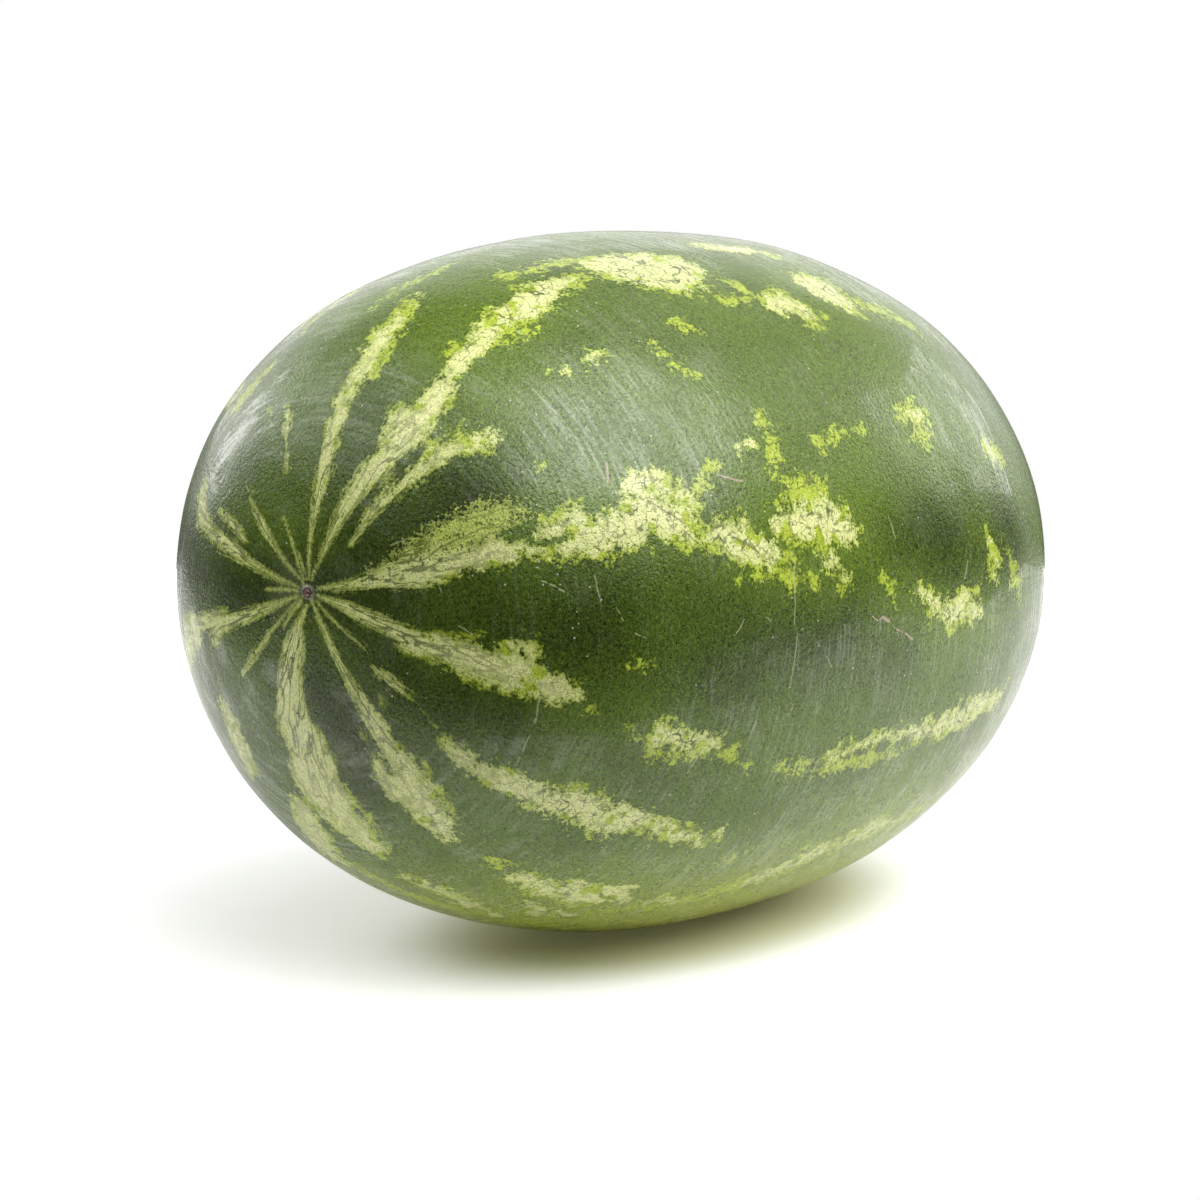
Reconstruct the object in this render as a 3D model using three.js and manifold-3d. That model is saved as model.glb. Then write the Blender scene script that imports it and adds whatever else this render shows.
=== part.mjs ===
// A whole oblong watermelon lying on its side.
// Millimetres, +Z up. The long axis runs along X: blossom end towards -X, stem end towards +X.
// The origin is on the surface it rests on, under the middle of the fruit's box.

import * as THREE from 'three';
import { mergeVertices } from 'three/addons/utils/BufferGeometryUtils.js';
import Module from 'manifold-3d';

// ---- Driving dimensions ----

// The body is a superellipse turned about the long axis. The exponent says how blunt an end is:
// 2 is an ellipse, more than 2 is blunter, less is more pointed.
const BLOSSOM_REACH = 183; // from the widest ring to the blossom tip
const STEM_REACH = 184; // from the widest ring to the stem tip
const HALF_WIDTH = 128.3;
const HALF_HEIGHT = 125.7;
const BLOSSOM_BLUNTNESS = 2.54;
const STEM_BLUNTNESS = 2.1;

// The long axis isn't quite straight.
const AXIS_BEND = 3.9; // how far both tips are above its middle
const AXIS_SWAY = 4.2; // how much more the blossom tip rises and the stem tip drops
const AXIS_BOW = 1.7; // how far both tips stand towards -Y

// How the fruit lies.
const LIE_TILT = THREE.MathUtils.degToRad(3.3); // the blossom end is the higher one
const FLAT_DEPTH = 2.3; // how much of the round belly the resting spot takes off

// Blossom scar: a small corky button in a faint dimple.
const BLOSSOM_DIMPLE = { radius: 13, depth: 0.9 };
const BLOSSOM_BUTTON = { radius: 2.1, height: 0.7 };

// Stem scar: a low corky disc in a shallow basin, where the stalk came away.
const STEM_BASIN = { radius: 27, depth: 3.4 };
const STEM_DISC = { radius: 5.6, height: 1.3 };

// Facets: rings along the fruit, and points around each ring.
const AROUND = 72;
const BODY_RINGS = 43;
const BODY_START = 13; // distance of the first and last body ring from the axis
const BLOSSOM_RINGS = [1.5, 2.1, 3.2, 6, 9.5]; // distances of the finer rings from the axis
const STEM_RINGS = [3, 4.8, 5.6, 6.6, 9.5];

const RIND = { color: 0x3f5c2a, roughness: 0.42, metalness: 0 };

// ---- Shape ----

/** Smooth step down from 1 at the axis to 0 at `radius`. */
function fade(distance, radius) {
  return 1 - THREE.MathUtils.smoothstep(distance, 0, radius);
}

/** How far a tip is pressed in, at a distance from the axis: a wide dish less a small button. */
function tipDepth(distance, dish, button) {
  const onButton = 1 - THREE.MathUtils.smoothstep(distance, 0.75 * button.radius, 1.15 * button.radius);
  return dish.depth * fade(distance, dish.radius) - button.height * onButton;
}

/**
 * A point of the rind. `along` runs from 0 at the blossom tip to PI at the stem tip, and
 * `around` turns about the long axis, from +Y through +Z.
 */
function rindPoint(along, around) {
  const cosine = Math.cos(along);
  const sine = Math.sin(along);
  const towardsBlossom = (1 + cosine) / 2;
  const reach = THREE.MathUtils.lerp(STEM_REACH, BLOSSOM_REACH, towardsBlossom);
  const bluntness = THREE.MathUtils.lerp(STEM_BLUNTNESS, BLOSSOM_BLUNTNESS, towardsBlossom);
  const swell = (Math.abs(cosine) ** bluntness + sine ** bluntness) ** (-1 / bluntness);
  const share = cosine * swell; // 1 at the blossom tip, -1 at the stem tip
  const girth = sine * swell;

  const distance = girth * HALF_WIDTH;
  const pressed = cosine > 0
    ? tipDepth(distance, BLOSSOM_DIMPLE, BLOSSOM_BUTTON)
    : tipDepth(distance, STEM_BASIN, STEM_DISC);

  return new THREE.Vector3(
    -reach * share + Math.sign(cosine) * pressed,
    HALF_WIDTH * girth * Math.cos(around) - AXIS_BOW * share ** 2,
    HALF_HEIGHT * girth * Math.sin(around) + AXIS_BEND * share ** 2 + AXIS_SWAY * share ** 3,
  );
}

/** The angles along the fruit at which the rings lie, blossom end first. */
function ringAngles() {
  const angleAt = (distance) => Math.asin(distance / HALF_WIDTH);
  const first = angleAt(BODY_START);
  const step = (Math.PI - 2 * first) / (BODY_RINGS - 1);
  const body = Array.from({ length: BODY_RINGS }, (_, i) => first + i * step);
  const blossom = BLOSSOM_RINGS.map(angleAt);
  const stem = STEM_RINGS.map((distance) => Math.PI - angleAt(distance)).reverse();
  return [...blossom, ...body, ...stem];
}

/** The closed rind: rings of points, with a fan of triangles to each tip. */
function rindGeometry() {
  const rings = ringAngles();
  const points = [rindPoint(0, 0)];
  for (const along of rings) {
    for (let i = 0; i < AROUND; i += 1) {
      points.push(rindPoint(along, (2 * Math.PI * i) / AROUND));
    }
  }
  points.push(rindPoint(Math.PI, 0));

  const at = (ring, i) => 1 + ring * AROUND + (i % AROUND);
  const last = points.length - 1;
  const triangles = [];
  for (let i = 0; i < AROUND; i += 1) {
    triangles.push(0, at(0, i + 1), at(0, i));
    for (let ring = 0; ring < rings.length - 1; ring += 1) {
      const [a, b] = [at(ring, i), at(ring, i + 1)];
      const [c, d] = [at(ring + 1, i), at(ring + 1, i + 1)];
      triangles.push(a, b, d, a, d, c);
    }
    triangles.push(last, at(rings.length - 1, i), at(rings.length - 1, i + 1));
  }

  const geometry = new THREE.BufferGeometry().setFromPoints(points);
  geometry.setIndex(triangles);
  return geometry;
}

/** Lays the fruit at its tilt, centred over the origin, sunk so far that the flat spot is at Z = 0. */
function layDown(geometry) {
  geometry.rotateY(LIE_TILT);
  geometry.computeBoundingBox();
  const { min, max } = geometry.boundingBox;
  geometry.translate(-(min.x + max.x) / 2, -(min.y + max.y) / 2, -min.z - FLAT_DEPTH);
  return geometry;
}

// ---- Flat resting spot ----

const wasm = await Module();
wasm.setup();

/** A closed geometry as a solid that can be cut. */
function toSolid(geometry) {
  const bare = new THREE.BufferGeometry();
  bare.setAttribute('position', geometry.getAttribute('position').clone());
  if (geometry.index) bare.setIndex(geometry.index.clone());
  const merged = mergeVertices(bare);
  return new wasm.Manifold(new wasm.Mesh({
    numProp: 3,
    vertProperties: new Float32Array(merged.getAttribute('position').array),
    triVerts: new Uint32Array(merged.index.array),
  }));
}

/** A cut solid as a geometry again. */
function toGeometry(solid) {
  const { vertProperties, triVerts } = solid.getMesh();
  const geometry = new THREE.BufferGeometry();
  geometry.setAttribute('position', new THREE.BufferAttribute(new Float32Array(vertProperties), 3));
  geometry.setIndex(new THREE.BufferAttribute(new Uint32Array(triVerts), 1));
  geometry.computeVertexNormals();
  return geometry;
}

/** The block under Z = 0 that trims the belly flat. */
function underTable() {
  const side = 2 * (BLOSSOM_REACH + STEM_REACH);
  return new THREE.BoxGeometry(side, side, side).translate(0, 0, -side / 2);
}

const fruit = toSolid(layDown(rindGeometry())).subtract(toSolid(underTable()));

const watermelon = new THREE.Mesh(toGeometry(fruit), new THREE.MeshStandardMaterial(RIND));
watermelon.name = 'watermelon';

const group = new THREE.Group();
group.add(watermelon);

export default group;
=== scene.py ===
# %% [markdown]
# # A whole watermelon
#
# This lesson dresses one grown thing, a watermelon lying on its side. The packed model already says
# how big it is and where it lies, so the first cell loads it and keeps its parts. Everything that
# follows is in metres in the same frame: the long axis runs along X, the blossom end towards -X and
# the stem end towards +X, and the fruit rests on Z = 0.

import bpy
import numpy as np
from mathutils import Matrix, Quaternion, Vector


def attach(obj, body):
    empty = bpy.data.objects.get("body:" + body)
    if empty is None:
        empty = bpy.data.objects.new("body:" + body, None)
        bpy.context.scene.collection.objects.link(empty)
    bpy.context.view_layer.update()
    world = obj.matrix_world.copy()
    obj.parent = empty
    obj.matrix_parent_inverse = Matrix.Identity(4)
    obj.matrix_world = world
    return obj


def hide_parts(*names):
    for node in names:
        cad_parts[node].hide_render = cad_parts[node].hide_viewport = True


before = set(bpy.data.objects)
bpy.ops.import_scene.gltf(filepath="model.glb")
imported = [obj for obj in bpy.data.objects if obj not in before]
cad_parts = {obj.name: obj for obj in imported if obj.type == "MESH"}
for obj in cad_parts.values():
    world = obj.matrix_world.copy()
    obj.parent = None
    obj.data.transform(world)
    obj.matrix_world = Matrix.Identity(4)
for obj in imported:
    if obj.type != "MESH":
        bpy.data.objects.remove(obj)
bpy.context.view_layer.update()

MM = 0.001
SEED = 7
random = np.random.default_rng(SEED)

# %% [markdown]
# ## The body as a surface
#
# A watermelon swells from a flower, so it has two tips and a round girth. It could be a scaled
# sphere, but an ellipse is too pointed at the blossom end. A superellipse turned about the long axis
# has one number for how blunt each end is, and it is a plain function of two angles, so numpy works
# out every point at once. The dimensions are those of the packed model.

# %% The body's dimensions, in millimetres
BLOSSOM_REACH = 183
STEM_REACH = 184
HALF_WIDTH = 128.3
HALF_HEIGHT = 125.7
BLOSSOM_BLUNTNESS = 2.54
STEM_BLUNTNESS = 2.1
AXIS_BEND = 3.9
AXIS_SWAY = 4.2
AXIS_BOW = 1.7
LIE_TILT = np.radians(3.3)
FLAT_DEPTH = 2.3


def body_point(along, around):
    """The smooth body before it is laid down.

    along is 0 at the blossom tip and pi at the stem tip; around turns from +Y through +Z.
    The radius is (|cos|^n + sin^n)^(-1/n), and n and the reach change evenly from tip to tip.
    """
    cosine = np.cos(along)
    sine = np.abs(np.sin(along))
    towards_blossom = (1 + cosine) / 2
    reach = STEM_REACH + (BLOSSOM_REACH - STEM_REACH) * towards_blossom
    bluntness = STEM_BLUNTNESS + (BLOSSOM_BLUNTNESS - STEM_BLUNTNESS) * towards_blossom
    swell = (np.abs(cosine) ** bluntness + sine ** bluntness) ** (-1 / bluntness)
    share = cosine * swell
    girth = sine * swell
    return np.stack([
        -reach * share + 0 * around,
        HALF_WIDTH * girth * np.cos(around) - AXIS_BOW * share ** 2,
        HALF_HEIGHT * girth * np.sin(around) + AXIS_BEND * share ** 2 + AXIS_SWAY * share ** 3,
    ], axis=-1)


print("blossom tip before it is laid down:", body_point(0.0, 0.0).round(1))

# %% [markdown]
# ## Where the rings lie
#
# The scar at the blossom end is only 4 mm across, and the body is 365 mm long. Evenly spaced rings
# would spend the faces in the wrong place. Here the space between rings grows with the distance from
# each tip until it reaches the body's own spacing, so both ends are fine and the belly isn't.

# %% Ring angles
AROUND = 384
BODY_STEP = 2.42
TIP_STEP = 0.3
STEP_GROWTH = 0.055

fine_angle = np.linspace(0, np.pi, 6001)
meridian = body_point(fine_angle, np.pi / 2)
fine_arc = np.concatenate([[0], np.cumsum(np.linalg.norm(np.diff(meridian, axis=0), axis=1))])
ARC_LENGTH = fine_arc[-1]


def tip_distances():
    """Distances from a tip, each step a little longer than the last, up to the body's spacing."""
    count = int(np.log(BODY_STEP / TIP_STEP) / STEP_GROWTH)
    return TIP_STEP * (np.exp(STEP_GROWTH * np.arange(1, count + 1)) - 1) / STEP_GROWTH


tip = tip_distances()
between = np.linspace(tip[-1], ARC_LENGTH - tip[-1], int((ARC_LENGTH - 2 * tip[-1]) / BODY_STEP))
ring_arc = np.concatenate([tip, between[1:-1], (ARC_LENGTH - tip)[::-1]])
ring_angle = np.interp(ring_arc, fine_arc, fine_angle)
print("meridian", round(ARC_LENGTH, 1), "mm,", len(ring_arc), "rings,",
      2 * AROUND * len(ring_arc), "triangles")

# %% [markdown]
# ## Relief
#
# A real rind is never a perfect surface. The flower leaves a corky button in a faint dimple, the
# stalk leaves a disc in a shallow basin, and the skin has uneven dents of a few tenths of a
# millimetre, which only show as a wobble in the highlights. All of it is a height along the
# surface's own normal, so the shape stays a grid.

# %% Heights on the surface, in millimetres
DIMPLE_RADIUS = 13
DIMPLE_DEPTH = 0.9
SCAR_RADIUS = 2.1
SCAR_HEIGHT = 0.7
BASIN_RADIUS = 27
BASIN_DEPTH = 3.4
STEM_SCAR_RADIUS = 5.6
STEM_SCAR_HEIGHT = 1.3


def smooth(value, low, high):
    """0 below low, 1 above high, and 3t^2 - 2t^3 between them."""
    share = np.clip((value - low) / (high - low), 0, 1)
    return share * share * (3 - 2 * share)


def bell(value, middle, width):
    """A Gaussian hump: exp(-((value - middle) / width)^2)."""
    return np.exp(-((value - middle) / width) ** 2)


def blossom_relief(distance, around):
    """Dimple, button, its rim, a small pit off its middle, and short folds that run out from it."""
    dimple = -DIMPLE_DEPTH * (1 - smooth(distance, 0, DIMPLE_RADIUS))
    button = SCAR_HEIGHT * (1 - smooth(distance, 0.75 * SCAR_RADIUS, 1.15 * SCAR_RADIUS))
    rim = 0.22 * bell(distance, 1.55, 0.3)
    across = distance * np.cos(around) + 0.35
    up = distance * np.sin(around) + 0.3
    pit = -0.65 * np.exp(-(across ** 2 + up ** 2) / 0.45 ** 2)
    folds = 0.09 * np.cos(15 * around + 2) * bell(distance, 3.3, 1.3)
    return dimple + button + rim + pit + folds


def stem_relief(distance, around):
    """Basin, corky disc with a ragged rim and a sunken middle, and ten soft shoulders around it."""
    basin = -BASIN_DEPTH * (1 - smooth(distance, 0, BASIN_RADIUS))
    edge = smooth(distance, 0.75 * STEM_SCAR_RADIUS, 1.15 * STEM_SCAR_RADIUS)
    disc = STEM_SCAR_HEIGHT * (1 - edge)
    rim = (0.35 + 0.12 * np.cos(9 * around)) * bell(distance, 4.3, 0.6)
    middle = -0.9 * bell(distance, 0, 1.6)
    shoulders = 0.35 * np.cos(10 * around) * bell(distance, 17, 8)
    return basin + disc + rim + middle + shoulders


def dents(points, waves=26):
    """The sum of plane waves, each a sine along its own direction, less its highest value.

    Counted down from the highest, it only presses in, so the rind stays within the packed model.
    """
    total = np.zeros(points.shape[:-1])
    for length in np.geomspace(14, 120, waves):
        direction = random.normal(size=3)
        direction /= np.linalg.norm(direction)
        phase = random.uniform(0, 2 * np.pi)
        total += 0.0009 * length * np.sin(2 * np.pi * points @ direction / length + phase)
    return total - total.max()


# %% [markdown]
# ## The grid of the rind
#
# Rings by turns give a grid of points. The differences between neighbours along and across it are
# two directions in the surface, and their cross product is its normal. The heights go along that.

# %% Points of the grid
turn = 2 * np.pi * np.arange(AROUND) / AROUND
along, around = np.meshgrid(ring_angle, turn, indexing="ij")
body = body_point(along, around)
slope_along = np.gradient(body, axis=0)
slope_around = np.roll(body, -1, axis=1) - np.roll(body, 1, axis=1)
normal = np.cross(slope_around, slope_along)
normal /= np.linalg.norm(normal, axis=-1, keepdims=True)

arc = np.broadcast_to(ring_arc[:, None], along.shape)
from_stem = ARC_LENGTH - arc
height = np.where(arc < ARC_LENGTH / 2, blossom_relief(arc, around), stem_relief(from_stem, around))
smooth_points = np.concatenate([[body_point(0.0, 0.0)], body.reshape(-1, 3), [body_point(np.pi, 0.0)]])
pressed = dents(smooth_points)
height = height + pressed[1:-1].reshape(height.shape)
rind_grid = body + height[..., None] * normal
print("outward normals:", bool((normal * body).sum(-1).min() > 0),
      " relief from", height.min().round(2), "to", height.max().round(2), "mm")

# %% [markdown]
# ## Laying it down
#
# The fruit lies with its blossom end a little higher, and its weight has flattened a small spot of
# the belly. Turning every point by the same angle, centring the box and lifting the belly to the
# floor puts it where the packed model has it. Points under the floor come up to it.

# %% Turn, centre and rest the rind
def turned(points):
    """Turned about Y by the tilt of its lie: x' = x cos + z sin and z' = z cos - x sin."""
    x, y, z = np.moveaxis(points, -1, 0)
    return np.stack([
        x * np.cos(LIE_TILT) + z * np.sin(LIE_TILT),
        y,
        z * np.cos(LIE_TILT) - x * np.sin(LIE_TILT),
    ], axis=-1)


smooth_body = turned(body).reshape(-1, 3)
lowest = smooth_body.min(axis=0)
highest = smooth_body.max(axis=0)
box_middle = (lowest + highest) / 2
SHIFT = np.array([-box_middle[0], -box_middle[1], -lowest[2] - FLAT_DEPTH])


def laid(points):
    """Points of the body frame where they lie in the shared frame, still in millimetres."""
    return turned(points) + SHIFT


def tip_point(index, outward, relief):
    """The single point that closes a tip: the body's own tip moved by its relief and its dent."""
    height_there = relief(np.zeros(1), np.zeros(1))[0] + pressed[index]
    return smooth_points[index] + np.array([outward, 0, 0]) * height_there


blossom_tip = laid(tip_point(0, -1.0, blossom_relief))
stem_tip = laid(tip_point(-1, 1.0, stem_relief))
rested = laid(rind_grid)
rested[..., 2] = np.maximum(rested[..., 2], 0)
rind_points = np.concatenate([[blossom_tip], rested.reshape(-1, 3), [stem_tip]])
print("blossom tip", blossom_tip.round(1), " stem tip", stem_tip.round(1))
print("size in mm:", np.ptp(rind_points, axis=0).round(1))

# %% [markdown]
# ## Streaks as lines with a width
#
# The pale streaks start as thin rays at the blossom scar, widen, and break up into islands around
# the belly. They could be noise alone, but then no ray would be where this fruit has it. So each
# streak is a short list of stations: latitude from the blossom tip, longitude from the top of the
# fruit (+ towards -Y), and half the width in millimetres. The shader frays their edges later.

# %% Pale streaks
PALE = {
    "ray 1": [(2, 70, .5), (6, 76, 1.1), (10, 76, 2.1), (14, 75, 3.6), (19, 75, 4.8), (29, 73, 5.2),
              (32, 74, 3)],
    "ray 1 tongue": [(5, 81, .5), (9, 82, .5)],
    "ray 1 bridge": [(31, 71, 1.6), (36, 74, 1.8), (40, 74, 2.7), (43, 74, 3.2)],
    "island 1a": [(36, 70, 2.4), (38, 70, 3), (41, 69, 5), (42, 71, 5)],
    "island 1b": [(43, 73, 5), (46, 71, 7.5), (50, 70, 8.5), (53, 72, 7)],
    "island 1b crest": [(48, 64, 3), (51, 64, 4.6), (55, 68, 2.4)],
    "island 1c": [(55, 75, 1.5), (58, 74, 4.6), (60, 76, 6.7), (63, 78, 4.8)],
    "island 1d": [(64, 73, 2.2), (67, 74, 5.4), (70, 74, 8.3), (73, 74, 7.6), (76, 76, 3.6)],
    "island 1d tail": [(71, 78, 3.6), (73, 81, 2.6), (74, 83, 1.9)],
    "ray 2": [(2, 100, .5), (6, 100, 1.4), (10, 102, 2.4), (15, 104, 3), (19, 106, 4), (23, 105, 4.4),
              (29, 105, 6.2), (33, 104, 7.2), (35, 105, 6.4), (38, 106, 5), (41, 106, 2.7)],
    "ray 2 upper": [(31, 98, 1.5), (34, 98, 2.6), (35, 100, 2.4)],
    "ray 2 side": [(23, 110, .7), (25, 110, 1), (27, 110, 1)],
    "thin ray 3": [(2, 124, .4), (6, 125, .5), (10, 125, .4), (13, 124, .3)],
    "ray 4 start": [(16, 130, 1.1), (18, 128, 2), (20, 128, 1.9), (22, 128, .6)],
    "ray 4": [(29, 133, 1.5), (31, 133, 2.7), (36, 133, 4.2), (40, 131, 4.5), (44, 130, 6), (47, 130, 7.5),
              (50, 130, 7), (55, 128, 4.2), (60, 129, 3.6), (64, 130, 3), (66, 128, 1.3)],
    "ray 5": [(1, 148, .4), (6, 146, 1.2), (12, 148, 1.7), (16, 148, 2.1), (20, 148, 3.4), (24, 149, 3.6),
              (28, 149, 4.6), (31, 152, 6.7), (35, 153, 6.5), (38, 154, 4), (40, 155, 1)],
    "ray 5 side": [(26, 157, 1.8), (28, 158, 2.9), (31, 157, 4.5)],
    "ray 6": [(2, 186, .7), (5, 196, 1.6), (9, 196, 4.8), (15, 195, 6), (19, 192, 7.4), (22, 187, 9.2),
              (25, 184, 10), (29, 184, 11.5), (33, 181, 10.5), (36, 178, 9), (39, 176, 6)],
    "ray 6 side": [(35, 194, 5.4), (39, 194, 8.4), (44, 194, 9)],
    "thin ray 7": [(1, -128, .3), (6, -133, .5), (11, -134, .8), (16, -134, .9), (20, -134, .4)],
    "thin ray 7 side": [(2, -140, .6), (5, -140, .9), (7, -142, .4)],
    "ray 8": [(2, -113, .5), (7, -112, 1.3), (12, -112, 2.3), (18, -109, 3), (26, -106, 3.5),
              (32, -105, 3)],
    "ray 8 drops": [(21, -112, 2), (22, -114, 2)],
    "ray 8 end": [(27, -108, 3), (31, -110, 5), (36, -112, 4)],
    "thin ray 9": [(2, -88, .5), (8, -93, .4)],
    "ray 10": [(2, -72, .4), (5, -75, .8), (11, -74, 1.7), (16, -72, 3), (22, -72, 3.3), (27, -70, 4),
               (30, -64, 3.6)],
    "ray 10 upper": [(14, -64, 1.2), (18, -62, 2.1), (22, -62, 1.2)],
    "ray 11": [(1, -36, .3), (5, -46, .7), (10, -48, 1.3), (14, -45, 1.3), (20, -44, .8)],
    "thin ray 12": [(2, -24, .3), (8, -24, .5), (12, -27, .6)],
    "thin ray 13": [(2, -11, .3), (5, -18, .4), (6, -18, .4)],
    "ray 14": [(2, 4, .3), (6, 2, .8), (12, 3, 1.6), (19, 3, 3), (27, 2, 3.9), (32, 2, 4.4), (36, 2, 4.2),
               (40, 2, 4.7), (44, 2, 2.9), (49, 0, 1.2)],
    "ray 15": [(2, 16, .3), (5, 24, .7), (9, 24, 1.5), (15, 25, 3), (20, 26, 4.2), (24, 28, 5),
               (29, 28, 7.2), (33, 27, 6.4), (37, 25, 4), (41, 23, 3.4), (45, 22, 4.2), (49, 20, 6.2),
               (53, 20, 7.2), (58, 18, 5.9), (62, 19, 1.3)],
    "ray 15 side": [(27, 22, 1.6), (29, 22, 3.2), (31, 24, 2.5)],
    "ray 16": [(11, 44, .9), (16, 40, 1.7), (21, 40, 2), (24, 40, 2.9), (29, 41, 3.7), (33, 42, 4),
               (35, 44, 2.8), (37, 43, .7)],
    "strand 17": [(29, -20, 1.3), (26, -19, 1.7), (23, -19, .7), (19, -19, 1)],
    "crown island": [(67, 16, 8), (69, 20, 14), (73, 22, 15), (77, 22, 9)],
    "crown island far": [(87, 14, 3), (91, 16, 5), (94, 16, 4.5), (97, 18, 2.5)],
    "crown island 3": [(83, 34, 5.5), (86, 34, 7), (87, 36, 4.5)],
    "crown island 4": [(94, 29, 6.5), (96, 31, 11), (97, 33, 8)],
    "round spot 1": [(48, 38, 2), (49, 38, 2)],
    "round spot 2": [(52.5, 37, 1.6), (53.5, 37, 1.6)],
    "dot a": [(63, 60, 1.7), (65, 60, 2.2)],
    "dot b": [(92, 58, 1.9), (95, 58, 2.3)],
    "side island 1": [(87, 86, 1.5), (90, 88, 3.2), (94, 90, 5.6), (97, 90, 5.2), (100, 91, 2.6)],
    "side island 2": [(103, 80, 2), (104, 83, 3.6), (104, 86, 2.4)],
    "low island 1": [(51, 111, 2.4), (52, 110, 3.8), (55, 110, 4.6), (58, 110, 4)],
    "low band": [(74, 113, 1.5), (77, 112, 2.8), (81, 111, 2.4), (86, 110, 1.3), (92, 110, 3.4),
                 (98, 110, 4.9), (105, 108, 5), (112, 108, 3)],
    "belly island": [(49, 154, 2), (51, 151, 4.5), (54, 152, 7), (56, 149, 6), (58, 151, 8),
                     (61, 147, 6.5), (64, 149, 3)],
    "belly island side": [(55, 158, 2.5), (58, 160, 4), (62, 158, 2.5)],
    "belly streak": [(45, 174, 2), (48, 171, 4), (52, 169, 4.5), (57, 168, 3)],
    "belly band": [(66, 149, 1.5), (69, 147, 3.5), (72, 146, 2)],
    "belly band 2": [(78, 142, 2), (81, 139, 4.5), (85, 135, 6), (90, 133, 4.5), (95, 131, 5),
                     (99, 130, 2)],
    "left island": [(28, -132, 2.5), (29, -138, 5), (32, -144, 6), (35, -147, 4)],
}
print(len(PALE), "pale streaks,", sum(len(stations) for stations in PALE.values()), "stations")

# %% [markdown]
# ## Yellow-green smudges and speckle
#
# Where a streak fades out, the rind is yellow-green before it turns dark, and some patches never get
# paler than that. One place beside the first ray is neither: pale and dark grains lie mixed there. The
# ground between is darkest in broad soft bands, which are lines too.

# %% Yellow-green smudges, the speckled field and the deep bands
LIME = {
    "beside island 1b": [(55, 68, 4.9), (59, 63, 2.9)],
    "beside island 1c": [(59, 82, 2.6), (66, 80, 3.6)],
    "over island 1d": [(69, 68, 6.2), (72, 70, 6.3)],
    "under island 1d": [(64, 82, 1.5), (69, 83, 3.2)],
    "along ray 1": [(31, 73, 1.9), (38, 74, 3.5), (43, 76, 2.8), (54, 73, 1.9)],
    "over ray 2": [(21, 99, 1.2), (25, 98, 1.5), (29, 96, 1.1)],
    "under ray 2": [(25, 110, 1.5), (29, 110, 1.4)],
    "past ray 2": [(42, 108, 1.6), (43, 108, 1.2)],
    "ray 4 gap": [(24, 129, 1.4), (27, 130, 1.3)],
    "over ray 4": [(44, 128, 3.3), (49, 126, 3.1)],
    "over ray 5": [(29, 142, 1.8), (33, 146, 2.3), (37, 148, 1.8)],
    "dash 5a": [(19, 138, 1.2), (20, 140, 1.3)],
    "dash 5b": [(21, 156, 1.3), (23, 156, 1.1)],
    "over ray 6": [(29, 174, 2.7), (34, 171, 3.3), (39, 172, 3)],
    "beside ray 14": [(34, 6, 3.7), (41, 4, 4.1), (44, 4, 3.3)],
    "over ray 15": [(41, 20, 4.4), (43, 22, 4.6), (46, 25, 2.9), (50, 26, 1.9)],
    "beside ray 16": [(29, 36, 2.1), (35, 38, 2.1)],
    "strand 18": [(30, -27, 1.9), (27, -26, 1.5)],
    "far smudge": [(37, -42, 6), (39, -34, 5)],
    "crown 1": [(68, 24, 7), (71, 28, 5.2)],
    "crown 2": [(56, 10, 3.1), (64, 12, 4.5), (68, 14, 3.6)],
    "crown 3": [(81, 29, 5.6), (82, 32, 1.8), (76, 32, 3.3)],
    "crown 4": [(86, 40, 3.6), (90, 38, 2.5)],
    "crown 5": [(100, 34, 3.5), (105, 36, 4.5), (108, 40, 3)],
    "crown dots 1": [(66, 36, 3.2), (68, 38, 1.9)],
    "crown dots 2": [(60, 38, 2.2), (61, 40, 1.9)],
    "crown dots 3": [(61, 43, 3.1), (62, 46, 3.1)],
    "crown dots 4": [(53, 37, 1.4), (51, 38, 1)],
    "shoulder 1": [(68, 55, 2.4), (68, 60, 3.3), (67, 65, 3.3)],
    "shoulder 2": [(75, 61, 2.7), (79, 60, 2.8), (83, 60, 2.9)],
    "shoulder 3": [(91, 58, 3.3), (95, 58, 6), (94, 62, 4.3), (91, 62, 1.4)],
    "shoulder 4": [(108, 64, 5.1), (112, 66, 5)],
    "side 1": [(81, 84, 3.6), (83, 87, 2.6)],
    "side 2": [(106, 80, 1.5), (108, 83, 3.6), (109, 86, 4.8), (111, 89, 4.2), (112, 92, 2)],
    "flank 1": [(46, 98, 1.7), (47, 98, 1.7), (49, 97, 1.9)],
    "flank 2": [(48, 110, 1.8), (52, 114, 2.3), (61, 112, 2.2), (64, 114, 1.8)],
    "flank 3": [(69, 114, 2.7), (77, 114, 3.2), (89, 113, 3.7)],
    "belly 1": [(49, 172, 5.3), (51, 169, 5.8), (56, 170, 4.4)],
    "belly 2": [(45, 153, 3), (47, 153, 2.7), (48, 150, 2.1)],
    "belly 3": [(60, 157, 3), (66, 151, 5), (72, 146, 7), (80, 140, 8), (88, 134, 7), (97, 131, 5),
                (106, 130, 3)],
    "belly 4": [(66, 138, 1.5), (69, 135, 2.6), (72, 132, 1.8)],
    "belly 5": [(44, 188, 3), (49, 183, 6), (54, 176, 7), (60, 169, 5.5), (67, 163, 4)],
    "small 1": [(39, 56, 2), (40, 55, 1.5)],
    "over the top": [(46, -8, 2), (52, -6, 3), (58, -4, 2.5)],
}
SPECKLED = {
    "beside ray 1": [(12, 72, 1.5), (17, 70, 4), (22, 68, 6), (27, 66, 7.5), (32, 64, 5.5), (35, 64, 3)],
}
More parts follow.
